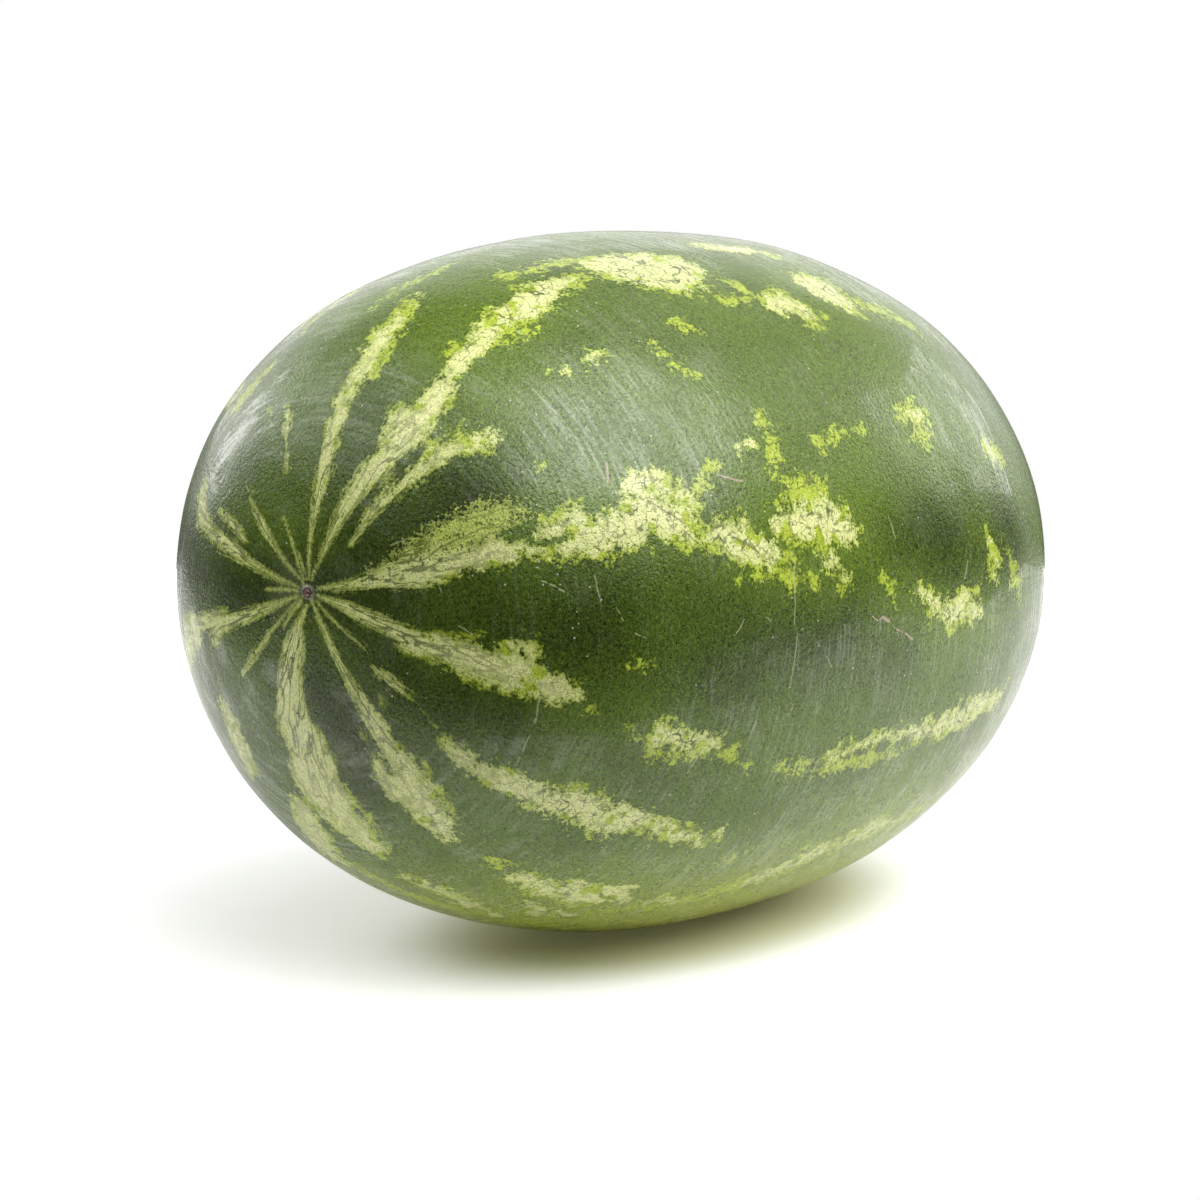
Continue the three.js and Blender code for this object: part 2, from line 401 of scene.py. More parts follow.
DEEP = {
    "side band": [(3, 90, 3), (15, 88, 8), (30, 89, 12), (50, 92, 13), (66, 94, 7), (84, 94, 2)],
    "stem side": [(84, 78, 3), (92, 79, 8), (100, 79, 11), (108, 81, 8)],
    "over ray 1": [(12, 54, 2), (20, 55, 6), (30, 56, 4)],
    "under ray 2": [(14, 116, 2), (24, 118, 5), (34, 118, 4)],
    "under ray 5": [(12, 166, 3), (20, 164, 5), (28, 166, 3)],
    "left": [(10, -95, 3), (20, -92, 7), (32, -90, 7)],
}
print(len(LIME), "yellow-green smudges")

# %% [markdown]
# ## The sides nobody has listed
#
# The same rays run on over the far side, and others gather again at the stem. A rule with a seeded
# dice makes those. It lays uneven islands along each far longitude, many with a yellow-green
# neighbour and some of them yellow-green alone, and a swaying ray into the stem scar at each
# longitude there.

# %% Islands on the far side and rays at the stem
FAR_LONGITUDES = (-30, -48, -72, -110, -136, -165)
FAR_END = 118
STEM_LONGITUDES = (-165, -138, -112, -92, -70, -44, -18, 6, 22, 38, 66, 88, 109, 128, 146, 172)
STEM_RAY = ((178, .5), (174, 1.2), (168, 2.4), (160, 3.6), (152, 5), (143, 6), (134, 5), (126, 2.5))
ISLAND_STEPS = np.array((0, 0.25, 0.5, 0.75, 1))
ISLAND_SWELL = np.array((0.3, 0.85, 1, 0.75, 0.25))


def island(latitude, longitude, length, wide):
    """Stations whose half width swells and shrinks with ISLAND_SWELL, times a random share of `wide`."""
    latitudes = latitude + length * ISLAND_STEPS
    longitudes = longitude + random.uniform(-3.5, 3.5, 5)
    halves = wide * ISLAND_SWELL * random.uniform(0.55, 1.15, 5)
    return list(zip(latitudes, longitudes, halves))


for longitude in FAR_LONGITUDES:
    latitude = random.uniform(38, 50)
    while latitude < FAR_END:
        length = random.uniform(7, 24)
        wide = random.uniform(3.5, 9)
        name = f"far {longitude} {latitude:.0f}"
        if random.random() < 0.75:
            PALE[name] = island(latitude, longitude, length, wide)
        if random.random() < 0.6:
            LIME[name] = island(latitude - 4, longitude + random.uniform(-9, 9), length + 6, wide * 0.8)
        latitude += length + random.uniform(2, 11)
for longitude in STEM_LONGITUDES:
    size = random.uniform(0.5, 1.25)
    stop = random.integers(4, len(STEM_RAY) + 1)
    sway = random.uniform(-2.5, 2.5, len(STEM_RAY))
    swell = random.uniform(0.7, 1.3, len(STEM_RAY))
    PALE[f"stem ray {longitude}"] = [
        (station[0], longitude + bend, station[1] * size * share)
        for station, bend, share in list(zip(STEM_RAY, sway, swell))[:stop]
    ]
print("with the far side:", len(PALE), "pale and", len(LIME), "yellow-green")

# %% [markdown]
# ## From streaks to numbers on the rind
#
# A shader can't search through a list of lines, but it can read a number that each point carries.
# So each point gets its distance into the nearest streak: half the width there, less the distance
# from the middle line. It is above 0 inside and below 0 outside, it changes evenly, and so it stays
# right between the points of the grid, where a plain yes or no would show stairs.

# %% Distance into the streaks
FINER = 4
FAR_AWAY = 40.0


def on_rind(latitude, longitude):
    """Longitude is measured from the top towards -Y, which is where `around` is a quarter turn on."""
    return laid(body_point(np.radians(latitude), np.radians(longitude + 90)))


def streak_line(stations):
    """Points and half widths along a streak, with FINER steps between stations, on the body."""
    stations = np.array(stations, float)
    stops = np.linspace(0, len(stations) - 1, FINER * (len(stations) - 1) + 1)
    index = np.arange(len(stations))
    latitude, longitude, half = (np.interp(stops, index, column) for column in stations.T)
    return on_rind(latitude, longitude), half


def reach_into(points, streaks):
    """For each point, the largest of (half width - distance) over all segments of all streaks."""
    best = np.full(len(points), -FAR_AWAY)
    for stations in streaks.values():
        line, half = streak_line(stations)
        margin = FAR_AWAY + half.max()
        near = np.all((points > line.min(0) - margin) & (points < line.max(0) + margin), axis=1)
        close_points = points[near]
        reach = best[near]
        for start, end, from_half, to_half in zip(line[:-1], line[1:], half[:-1], half[1:]):
            step = end - start
            share = np.clip((close_points - start) @ step / (step @ step), 0, 1)
            gap = np.linalg.norm(close_points - start - share[:, None] * step, axis=1)
            reach = np.maximum(reach, from_half + (to_half - from_half) * share - gap)
        best[near] = reach
    return best


plain_points = laid(smooth_points)
rind_numbers = {
    "pale_reach": reach_into(plain_points, PALE),
    "lime_reach": reach_into(plain_points, LIME),
    "speckle_reach": reach_into(plain_points, SPECKLED),
    "deep_reach": reach_into(plain_points, DEEP),
}
pale_share = float((rind_numbers["pale_reach"] > 0).mean())
print("share of the rind inside pale streaks:", round(pale_share, 3))

# %% [markdown]
# ## Grain
#
# Near the tips everything in the rind runs along the meridians: the fruit grew outwards from there,
# and stretched its pattern. Noise on plain coordinates can't do that. So each point also carries a
# place in a made-up space, where going round the fruit goes round a small circle and going along it
# is squeezed. Noise read there comes out as fibres that meet at the scar.

# %% Grain coordinates
GRAIN_RADIUS = 40
GRAIN_STRETCH = 4.5

longitude_turn = np.concatenate([[0], around.reshape(-1), [0]])
arc_of_point = np.concatenate([[0], arc.reshape(-1), [ARC_LENGTH]])
grain = np.stack([
    GRAIN_RADIUS * np.cos(longitude_turn),
    GRAIN_RADIUS * np.sin(longitude_turn),
    arc_of_point / GRAIN_STRETCH,
], axis=1)
rind_numbers["grain"] = grain
rind_numbers["arc"] = arc_of_point
print("grain space:", np.ptp(grain, axis=0).round(1), "mm")

# %% [markdown]
# ## Faces
#
# The grid becomes quads, and a fan of triangles closes each tip. A face is the numbers of its
# corners, so all of them come from sums on the points' numbers. Seen from outside the corners run
# anticlockwise, which makes a face point outwards.

# %% Faces of the grid
def grid_quads(rows, columns, closed):
    """Quads between neighbouring rows of points; closed also joins each row's last point to its first."""
    steps = columns if closed else columns - 1
    row, column = np.meshgrid(np.arange(rows - 1), np.arange(steps), indexing="ij")
    a = row * columns + column
    b = row * columns + (column + 1) % columns
    return np.stack([a, b, b + columns, a + columns], axis=-1).reshape(-1, 4)


def tip_fans(rings, columns):
    """A fan of triangles at each tip; the tips are the first and the last point."""
    first = np.arange(columns)
    second = (first + 1) % columns
    end = 1 + (rings - 1) * columns
    blossom_fan = np.stack([0 * first, 1 + second, 1 + first], axis=1)
    stem_fan = np.stack([0 * first + end + columns, end + first, end + second], axis=1)
    return np.concatenate([blossom_fan, stem_fan])


quads = 1 + grid_quads(len(ring_arc), AROUND, closed=True)
fans = tip_fans(len(ring_arc), AROUND)
print(len(quads), "quads and", len(fans), "triangles at the tips")

# %% [markdown]
# ## The mesh
#
# Points and faces go into Blender as whole lists and the numbers of the last cells as whole arrays,
# in named attributes, so nothing here loops over points. The faces are marked smooth.

# %% Build the rind mesh
def in_scene(name, data):
    """A new object that carries this mesh, camera or light, in the scene."""
    thing = bpy.data.objects.new(name, data)
    bpy.context.scene.collection.objects.link(thing)
    return thing


def mesh_object(name, points, quads, triangles):
    """A mesh object from arrays of points in metres, quads and triangles."""
    mesh = bpy.data.meshes.new(name)
    mesh.from_pydata(points.tolist(), [], quads.tolist() + triangles.tolist())
    mesh.polygons.foreach_set("use_smooth", np.ones(len(mesh.polygons), bool))
    mesh.update()
    return in_scene(name, mesh)


def give(piece, name, values):
    """Stores one number or one vector per point as a named attribute."""
    values = np.asarray(values, np.float32)
    vector = values.ndim == 2
    kind = "FLOAT_VECTOR" if vector else "FLOAT"
    attribute = piece.data.attributes.new(name, kind, "POINT")
    attribute.data.foreach_set("vector" if vector else "value", values.ravel())


rind = mesh_object("watermelon_rind", rind_points * MM, quads, fans)
for name, values in rind_numbers.items():
    give(rind, name, values)
print(rind.name, len(rind.data.vertices), "points,", len(quads) * 2 + len(fans), "triangles")

# %% [markdown]
# ## Shader maths as Python
#
# A material with this much in it is hard to read as a web of nodes, and harder to change. One small
# class wraps a socket, and Python's own operators add the Math nodes. Every other node comes from
# one method, which sets the node up first and then fills its sockets with numbers or wires.

# %% A wire that can do maths
class Wire:
    """One output socket of a node tree, or the bare tree to start from."""

    def __init__(self, tree, socket=None):
        self.tree = tree
        self.socket = socket

    def add(self, kind, settings=None, sockets=None, output=0):
        """Adds a shader node: its settings are set first, then the values or links of its sockets."""
        node = self.tree.nodes.new("ShaderNode" + kind)
        for name, value in (settings or {}).items():
            setattr(node, name, value)
        for name, value in (sockets or {}).items():
            if isinstance(value, Wire):
                self.tree.links.new(value.socket, node.inputs[name])
            else:
                node.inputs[name].default_value = value
        return Wire(self.tree, node.outputs[output]) if node.outputs else None

    def maths(self, operation, *values):
        return self.add("Math", {"operation": operation}, dict(enumerate(values)))

    def __add__(self, other):
        return self.maths("ADD", self, other)

    def __radd__(self, other):
        return self.maths("ADD", other, self)

    def __sub__(self, other):
        return self.maths("SUBTRACT", self, other)

    def __rsub__(self, other):
        return self.maths("SUBTRACT", other, self)

    def __mul__(self, other):
        return self.maths("MULTIPLY", self, other)

    def __rmul__(self, other):
        return self.maths("MULTIPLY", other, self)

    def __neg__(self):
        return self.maths("MULTIPLY", self, -1.0)

    def most(self, other):
        return self.maths("MAXIMUM", self, other)

    def least(self, other):
        return self.maths("MINIMUM", self, other)

    def vector(self, operation, *values, output=0):
        return self.add("VectorMath", {"operation": operation}, dict(enumerate(values)), output)

    def scaled(self, factor):
        return self.add("VectorMath", {"operation": "SCALE"}, {0: self, "Scale": factor})

    def part(self, axis):
        return self.add("SeparateXYZ", {}, {0: self}, axis)


print("what a wire can do:", [name.strip("_") for name in vars(Wire) if callable(vars(Wire)[name])])

# %% [markdown]
# ## Ready-made steps
#
# Some groups of nodes come up again and again: a soft step between two values, a colour between two
# others, and a noise of a given size. Each is one function, so a mask or a colour stays one line.

# %% Soft steps, mixed colours and noise
def step_up(value, low, high):
    """0 below low, 1 above high, smooth between them."""
    return value.add("MapRange", {"interpolation_type": "SMOOTHSTEP"},
                     {"Value": value, "From Min": low, "From Max": high})


def mixed(share, first, second):
    """A colour between two, by a share from 0 to 1. A Mix node's colours are its sockets 6 and 7."""
    wire = next(item for item in (share, first, second) if isinstance(item, Wire))
    return wire.add("Mix", {"data_type": "RGBA", "clamp_factor": True},
                    {0: share, 6: opaque(first), 7: opaque(second)}, 2)


def opaque(colour):
    """A colour of three numbers with alpha 1, or the wire as it is."""
    return colour if isinstance(colour, Wire) else (*colour, 1)


def noise(place, size, detail=2.0, roughness=0.5):
    """Fractal noise around 0: features of about `size` millimetres, mostly within -0.3 and 0.3."""
    wire = place.add("TexNoise", {"noise_dimensions": "3D"},
                     {"Vector": place, "Scale": 1 / size, "Detail": detail, "Roughness": roughness})
    return wire - 0.5


def start_tree(holder):
    """Empties the node tree of a new material or world, and gives a wire to start from."""
    holder.use_nodes = True
    holder.node_tree.nodes.clear()
    return Wire(holder.node_tree)


print("helpers:", [helper.__name__ for helper in (step_up, mixed, opaque, noise, start_tree)])

# %% [markdown]
# ## The rind's material, first part: noise of several sizes
#
# A streak's edge is torn at several sizes at once: islands of a centimetre, teeth of two or three
# millimetres, and grains. Each size is one noise. Near the scars the teeth turn into fibres, so the
# noise there is read from the grain coordinates. How far a point is out of the fibres is a number
# too, from 0 at a tip to 1 around the belly.

# %% Noises of the rind
ISLAND_SIZE = 14
TOOTH_SIZE = 4.2
GRAIN_SIZE = 1.2
GRIT_SIZE = 0.55
FIBRE_SIZE = 3.4
THREAD_SIZE = 1.0
FIBRES_END = 20
CELLS_BEGIN = 120

skin = bpy.data.materials.new("melon_rind")
skin_tree = start_tree(skin)
place = skin_tree.add("TexCoord", output="Object").scaled(1 / MM)


def carried(name, output="Fac"):
    """A number or vector that the rind's points carry."""
    return skin_tree.add("Attribute", {"attribute_name": name}, {}, output)


fibre_place = carried("grain", "Vector")
arc_wire = carried("arc")
tip_gap = arc_wire.least(ARC_LENGTH - arc_wire)
spread = step_up(tip_gap, FIBRES_END, CELLS_BEGIN)
close = 1 - spread
widen = step_up(tip_gap, 0, 45)

islands = noise(place, ISLAND_SIZE, 2, 0.55)
teeth = noise(place, TOOTH_SIZE, 2, 0.6)
grains = noise(place, GRAIN_SIZE, 1, 0.5)
grit = noise(place, GRIT_SIZE, 1, 0.6)
fibres = noise(fibre_place, FIBRE_SIZE, 2, 0.6)
threads = noise(fibre_place, THREAD_SIZE, 1, 0.6)
frayed = spread * (islands * 9 + teeth * 10) + widen * close * (fibres * 7 + threads * 5)
torn = grains * 2.6 + grit * 1.2
loose = spread * 0.75 + 0.25
print("noises:", len(skin.node_tree.nodes), "nodes so far")

# %% [markdown]
# ## Second part: where the colours go
#
# The noise is added to the distance into a streak before that is cut at 0, so an edge is torn but
# stays in its place, and a coarser noise opens holes around the belly. A yellow-green fringe reaches
# a little further than the pale, and a faint glow of it lies on the dark ground round the streaks.

# %% Masks of the rind
HOLE_SIZE = 6.5
PATCH_SIZE = 13

holes = step_up(noise(place, HOLE_SIZE, 1, 0.6), 0.07, 0.2) * spread
whole_depth = carried("pale_reach") + frayed
pale_depth = whole_depth - holes * 7
pale_mask = step_up(pale_depth * 0.42 + torn * loose, -0.35, 0.75)
speckle_depth = carried("speckle_reach") * 0.12 + teeth * 0.9 + islands * 0.8
speckled = step_up(speckle_depth + torn * 0.6, -0.1, 0.25)

patchy = step_up(noise(place, PATCH_SIZE, 1), -0.1, 0.2) * 3 * widen * loose
lime_depth = (carried("lime_reach") + frayed - 0.5).most(whole_depth + patchy)
lacy = (teeth * 1.2 + torn * 0.6) * loose
lime_mask = step_up(lime_depth * 0.26 + lacy, -0.25, 0.5)
glow = step_up(carried("pale_reach").most(carried("lime_reach")) + islands * 24, -30, 4) * spread
print("masks:", len(skin.node_tree.nodes), "nodes so far")

# %% [markdown]
# ## Third part: veins
#
# Inside a pale streak a net of dark veins shows, drawn out along the fibres near the scar and as a
# crackle elsewhere. Voronoi cells have such a net as their borders, and a noise has fine winding
# lines where it passes through 0. Dark flecks of grain lie between them.

# %% Veins
CRACK_SIZE = 5.2
CRACK_WIDTH = 0.44
WARP_SIZE = 5
WARP_REACH = 3.2
GATE_SIZE = 9
HAIR_SIZE = 3.6
FIBRE_HAIR_SIZE = 2.9

warp = place.add("TexNoise", {}, {"Vector": place, "Scale": 1 / WARP_SIZE, "Detail": 1.0}, "Color")
warp_place = place.vector("ADD", place, warp.scaled(WARP_REACH))


def net(where, size, thin):
    """A net of lines between cells of `size` millimetres, thinning out and breaking where teeth rise."""
    border = where.add("TexVoronoi", {"feature": "DISTANCE_TO_EDGE"},
                       {"Vector": where, "Scale": 1 / size}) * size
    return 1 - step_up(border + teeth * thin * 4 + grains * thin, thin * 0.3, thin)


def ridge(noise_wire, thin):
    """A thin winding line wherever a noise passes through 0."""
    return 1 - step_up(noise_wire.maths("ABSOLUTE", noise_wire), thin * 0.3, thin)


gate = noise(place, GATE_SIZE, 1)
crackle = net(warp_place, CRACK_SIZE, CRACK_WIDTH) * step_up(gate, -0.04, 0.12) * spread
jagged = grains * 0.14 + grit * 0.1
hairs = ridge(noise(place, HAIR_SIZE, 1, 0.6) + jagged, 0.034) * (spread * 0.85 + 0.05)
fibre_hairs = ridge(noise(fibre_place, FIBRE_HAIR_SIZE, 1, 0.6) + jagged, 0.062)
fibre_hairs = fibre_hairs * close * step_up(tip_gap, 2, 12)
flecks = step_up(grains + grit * 0.8, 0.13, 0.27)
vein = crackle.most(hairs * 0.85).most(fibre_hairs).most(flecks * 0.6)
vein = vein.most(step_up(threads, 0.08, 0.2) * close * 0.75)
vein = vein.most(step_up(speckle_depth, -0.25, 0.15) * step_up(torn - teeth, 0.1, 0.42))
print("veins:", len(skin.node_tree.nodes), "nodes so far")

# %% [markdown]
# ## Fourth part: ground and colours
#
# The dark ground is mottled by lighter grains and darkest in the soft bands. The belly, which never
# saw the sun, is a paler yellow-green, and palest underneath. The yellow-green, the pale streaks and
# the veins go on it one after the other, each through its own mask, as coats of paint would.

# %% Ground and colours
MOTTLE_SIZE = 1.6
CLOUD_SIZE = 34
BELLY_FULL = -16
BELLY_START = 50
UNDERSIDE_FULL = -8
UNDERSIDE_START = 26

height_up = place.part("Z")
stemward = step_up(arc_wire, 150, 300)
belly_height = height_up + islands * 44 - spread * 15 - stemward * 22
belly = 1 - step_up(belly_height, BELLY_FULL, BELLY_START)
underside = 1 - step_up(height_up + islands * 20 - spread * 8, UNDERSIDE_FULL, UNDERSIDE_START)
mottle = noise(place, MOTTLE_SIZE, 2, 0.6)
cloud = noise(place, CLOUD_SIZE, 1, 0.5)

DARK_GREEN = (0.017, 0.029, 0.0034)
MID_GREEN = (0.126, 0.194, 0.024)
BELLY_GREEN = (0.44, 0.545, 0.075)
UNDERSIDE_GREEN = (0.57, 0.59, 0.12)
GLOW_GREEN = (0.150, 0.225, 0.018)
LIME_GREEN = (0.46, 0.55, 0.055)
LIME_SHADE = (0.17, 0.25, 0.014)
PALE_OLIVE = (0.45, 0.52, 0.115)
PALE_CREAM = (0.68, 0.70, 0.305)
VEIN_GREEN = (0.050, 0.080, 0.009)

grainy = grit * 1.6 + grains * 0.8 + mottle * 0.5
deep = step_up(carried("deep_reach") + islands * 22, -26, 8)
tone = grainy * 0.34 + cloud * 0.4 + 0.42 - deep * 0.29 - close * 0.11
ground = mixed(step_up(tone, -0.2, 0.8), DARK_GREEN, MID_GREEN)
ground = mixed(glow * (0.1 + stemward * 0.4) * step_up(grainy + cloud, -0.5, 0.4), ground, GLOW_GREEN)
paler = belly * (1 - stemward * 0.3) * step_up(grainy * 0.7 + islands, -0.6, 0.4)
ground = mixed(paler, ground, BELLY_GREEN)
ground = mixed(underside * step_up(grainy, -0.8, 0.2), ground, UNDERSIDE_GREEN)
cream_share = step_up(pale_depth * 0.16 + (cloud + teeth) * 0.9 + grainy * 0.3 + close * 0.15, -0.5, 1.1)
cream = mixed(cream_share, PALE_OLIVE, PALE_CREAM)
lime_colour = mixed(step_up(lacy + lime_depth * 0.1 + grainy * 0.15, -0.45, 0.7), LIME_SHADE, LIME_GREEN)
colour = mixed(lime_mask * 0.9, ground, lime_colour)
colour = mixed(pale_mask.most(speckled * 0.9), colour, cream)
pores = step_up(-(grains + grit * 0.8), 0.15, 0.32)
colour = colour.scaled(1 + grit * 1.1 + grains * 0.5 - pores * 0.25)
colour = mixed(vein * pale_mask.most(speckled).most(lime_mask * 0.6) * 0.9, colour, VEIN_GREEN)
print("colours:", len(skin.node_tree.nodes), "nodes so far")

# %% [markdown]
# ## Fifth part: the corky scars
#
# Where the flower broke off, a purplish disc is left, with a dark rim, a pit off its middle, and a
# tan fringe that runs out between the rays. Where the stalk came away there is a wider brown disc
# with a pale broken middle. Each colour reaches as far as its distance from the scar's own point.

# %% Scars
FRINGE_TAN = (0.36, 0.31, 0.21)
RIM_BROWN = (0.045, 0.02, 0.014)
CORK_PURPLE = (0.16, 0.085, 0.075)
PIT_BLACK = (0.02, 0.01, 0.01)
STALK_BROWN = (0.10, 0.07, 0.035)
STALK_CORK = (0.33, 0.25, 0.14)

scar_gap = place.vector("DISTANCE", place, tuple(blossom_tip), output="Value")
scar_gap = scar_gap + grains * 0.9
pit_gap = place.vector("DISTANCE", place, tuple(blossom_tip + [0.2, -0.35, -0.3]), output="Value")
fringe = (1 - step_up(scar_gap, 2.0, 3.6)) * step_up(threads + fibres, -0.12, 0.12)
colour = mixed(fringe * 0.75, colour, FRINGE_TAN)
colour = mixed(1 - step_up(scar_gap, 1.75, 2.15), colour, RIM_BROWN)
colour = mixed(1 - step_up(scar_gap, 1.2, 1.55), colour, CORK_PURPLE)
colour = mixed(1 - step_up(pit_gap, 0.35, 0.7), colour, PIT_BLACK)
stem_gap = place.vector("DISTANCE", place, tuple(stem_tip), output="Value") + teeth * 2
colour = mixed(1 - step_up(stem_gap, 5.2, 6.6), colour, STALK_BROWN)
colour = mixed((1 - step_up(stem_gap, 4.0, 5.0)) * step_up(grains, -0.1, 0.15), colour, STALK_CORK)
print("with scars:", len(skin.node_tree.nodes), "nodes")

# %% [markdown]
# ## Sixth part: pin dots and painted glints
#
# White pin dots are where the skin broke its pores, in loose clusters, and the dense clusters are
# also painted glints of light. A Voronoi pattern has one point somewhere in each cell, and a random
# colour per cell, which picks the cells that keep theirs.

# %% Pin dots and painted glints
PIN_DOT_AND_GLINT_WHITE = (0.55, 0.58, 0.46)
CLUSTER_SIZE = 30


def pin_dots_and_glints(size, radius, share):
    """One dot somewhere in each cell of `size` millimetres, kept in a share of the cells."""
    settings = {"feature": "F1"}
    sockets = {"Vector": place, "Scale": 1 / size}
    gap = place.add("TexVoronoi", settings, sockets) * size
    kept = place.add("TexVoronoi", settings, sockets, "Color").part("X")
    return (1 - step_up(gap, radius * 0.5, radius)) * step_up(kept, 1 - share, 1.02 - share)


# white pin dots, and in the dense clusters also painted glints
clusters = step_up(noise(place, CLUSTER_SIZE, 1), -0.02, 0.08)
dots = pin_dots_and_glints(3.4, 0.42, 0.6) * clusters
dots = dots.most(pin_dots_and_glints(10, 0.5, 0.5))
colour = mixed(dots * 0.8, colour, PIN_DOT_AND_GLINT_WHITE)
print("with pin dots:", len(skin.node_tree.nodes), "nodes")

# %% [markdown]
# ## Scratches
#
# A fruit is rolled, stacked and carried, and its rind keeps the marks: pale dry scratches, a few
# that healed pinkish brown, and dark rubs. Each row is one: latitude, longitude, heading in degrees
# from the way to the stem, length, and half width.

# %% Scratches
PALE_SCRATCHES = [
    (66.5, 84, 92, 27, 0.32), (66.8, 96, 91, 22, 0.28), (67.6, 104, 125, 5, 0.4), (63, 89, 40, 5, 0.3),
    (36.8, 82.3, 25, 9, 0.45), (42, 83, 80, 10, 0.35), (44.5, 88, 60, 6, 0.25), (59, 90, 125, 8, 0.3),
    (37.5, 123, 85, 15, 0.4), (63, 108, 95, 10, 0.35), (57, 115, 100, 8, 0.3), (18, 60, 5, 7, 0.3),
    (36.8, 110, 82, 16, 0.5), (38.3, 104.5, 55, 8, 0.35),
    (22, 80, 70, 9, 0.3), (26, 96, 20, 6, 0.3), (83, 76, 75, 9, 0.4), (97, 84, 115, 8, 0.45),
    (72, 96, 50, 6, 0.3), (47, 92, 20, 5, 0.3), (44, 42, 85, 14, 0.3), (100, 50, 30, 9, 0.35),
]
PINK_SCRATCHES = [
    (79, 89.7, 32, 5, 0.35), (81, 90, 25, 6, 0.8), (83.3, 92, 28, 5, 0.45), (85.5, 93.2, 30, 7, 0.55),
    (60.5, 65.3, 19, 11, 0.5), (46.3, 60.3, 108, 8, 0.45),
]
DARK_SCRATCHES = [(51.5, 69.5, 38, 16, 0.5), (53.8, 74.5, 45, 9, 0.45), (88, 44, 15, 22, 0.4)]
DRY_PALE = (0.40, 0.42, 0.22)
HEALED_PINK = (0.46, 0.34, 0.26)
RUBBED_BROWN = (0.07, 0.055, 0.03)
print(len(PALE_SCRATCHES), "pale,", len(PINK_SCRATCHES), "pink and", len(DARK_SCRATCHES), "dark scratches")

# %% [markdown]
# ## Drawing the scratches
#
# A scratch is thinner than the space between two points of the rind, so it can't be a mark on them.
# Instead numpy works out how far each point is from its nearest scratch. That changes evenly, and the
# shader draws the thin line from it.

# %% Scratches on the rind
def rind_frame(latitude, longitude):
    """A place on the body with its unit directions ahead (to the stem), down (more longitude) and out."""
    small = 0.05
    middle = on_rind(latitude, longitude)
    ahead = on_rind(latitude + small, longitude) - middle
    down = on_rind(latitude, longitude + small) - middle
    ahead, down = ahead / np.linalg.norm(ahead), down / np.linalg.norm(down)
    out = np.cross(down, ahead)
    return middle, ahead, down, out / np.linalg.norm(out)


def nearest_scratch(rows):
    """For each point: distance from the nearest scratch's line and middle, and its half width.

    The distance from the middle is a share of the length, and the nearest scratch has the smallest.
    A scratch lies in the plane that its course and the outward direction span, so the distance from
    its line is a dot product with the direction across.
    """
    best = np.tile([0.0, 9.0, 1.0], (len(plain_points), 1))
    for latitude, longitude, heading, length, half_width in rows:
        middle, ahead, down, out = rind_frame(latitude, longitude)
        course = np.cos(np.radians(heading)) * ahead + np.sin(np.radians(heading)) * down
        offset = (plain_points - middle) @ np.cross(out, course)
        ratio = np.linalg.norm(plain_points - middle, axis=1) / length
        found = np.stack([offset, ratio, np.full(len(offset), half_width)], axis=1)
        best = np.where((ratio < best[:, 1])[:, None], found, best)
    return best


def scratched(name, rows, strength, colour_wire, mark):
    """The colour with a list of scratches on it, wavering with the teeth and broken up by the grains."""
    give(rind, name, nearest_scratch(rows))
    found = carried(name, "Vector")
    offset = found.part("X") + teeth * 1.2
    half_width = found.part("Z")
    line = 1 - step_up(offset.maths("ABSOLUTE", offset), half_width * 0.4, half_width)
    run = 1 - step_up(found.part("Y"), 0.42, 0.5)
    broken = step_up(grains + teeth * 0.5, -0.22, -0.05)
    return mixed(line * run * broken * strength, colour_wire, mark)


colour = scratched("pale_scratch", PALE_SCRATCHES, 0.6, colour, DRY_PALE)
colour = scratched("pink_scratch", PINK_SCRATCHES, 0.75, colour, HEALED_PINK)
colour = scratched("dark_scratch", DARK_SCRATCHES, 0.6, colour, RUBBED_BROWN)
print("with scratches:", len(skin.node_tree.nodes), "nodes")

# %% [markdown]
# ## Gloss and bump
#
# The wax on the rind is semi-gloss and was wiped crosswise, so its coat has faint streaks round the
# girth and its bloom is patchy. A faint whitish tint along them is partly dust and partly painted
# sheen. Fine grain in the bump breaks up what it mirrors.

# %% The rind's shader
WIPE_STRETCH = (1, 0.07, 0.07)
WIPE_SIZE = 1.2
BLOOM_SIZE = 18
DUST_AND_SHEEN_WHITE = (0.62, 0.68, 0.50)
WAX_IOR = 1.42
COAT_ROUGHNESS = 0.07

wiped = noise(place.vector("MULTIPLY", place, WIPE_STRETCH), WIPE_SIZE, 1, 0.6)
bloom = noise(place, BLOOM_SIZE, 2, 0.6)
# dust and painted sheen: a faint whitish tint along the wipe streaks and the bloom
dust_and_sheen = step_up(wiped + bloom * 0.8 + grit * 0.4, 0.0, 0.4)
colour = mixed(dust_and_sheen * 0.05, colour, DUST_AND_SHEEN_WHITE)
roughness = 0.25 + bloom * 0.16 + wiped * 0.1 + mottle * 0.1 + pale_mask * 0.05
coat_weight = step_up(wiped * 1.3 + bloom + grains * 0.6, -0.2, 0.5) * 0.8
bump_height = mottle * 0.13 + grains * 0.21 + grit * 0.11
bump = skin_tree.add("Bump", {}, {"Strength": 1.0, "Distance": MM, "Height": bump_height})
surface = skin_tree.add("BsdfPrincipled", {}, {
    "Base Color": colour,
    "Roughness": roughness,
    "IOR": WAX_IOR,
    "Coat Weight": coat_weight,
    "Coat Roughness": COAT_ROUGHNESS,
    "Normal": bump,
})
skin_tree.add("OutputMaterial", {}, {"Surface": surface})
rind.data.materials.append(skin)
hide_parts("watermelon")
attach(rind, "root")
print("rind material:", len(skin.node_tree.nodes), "nodes")

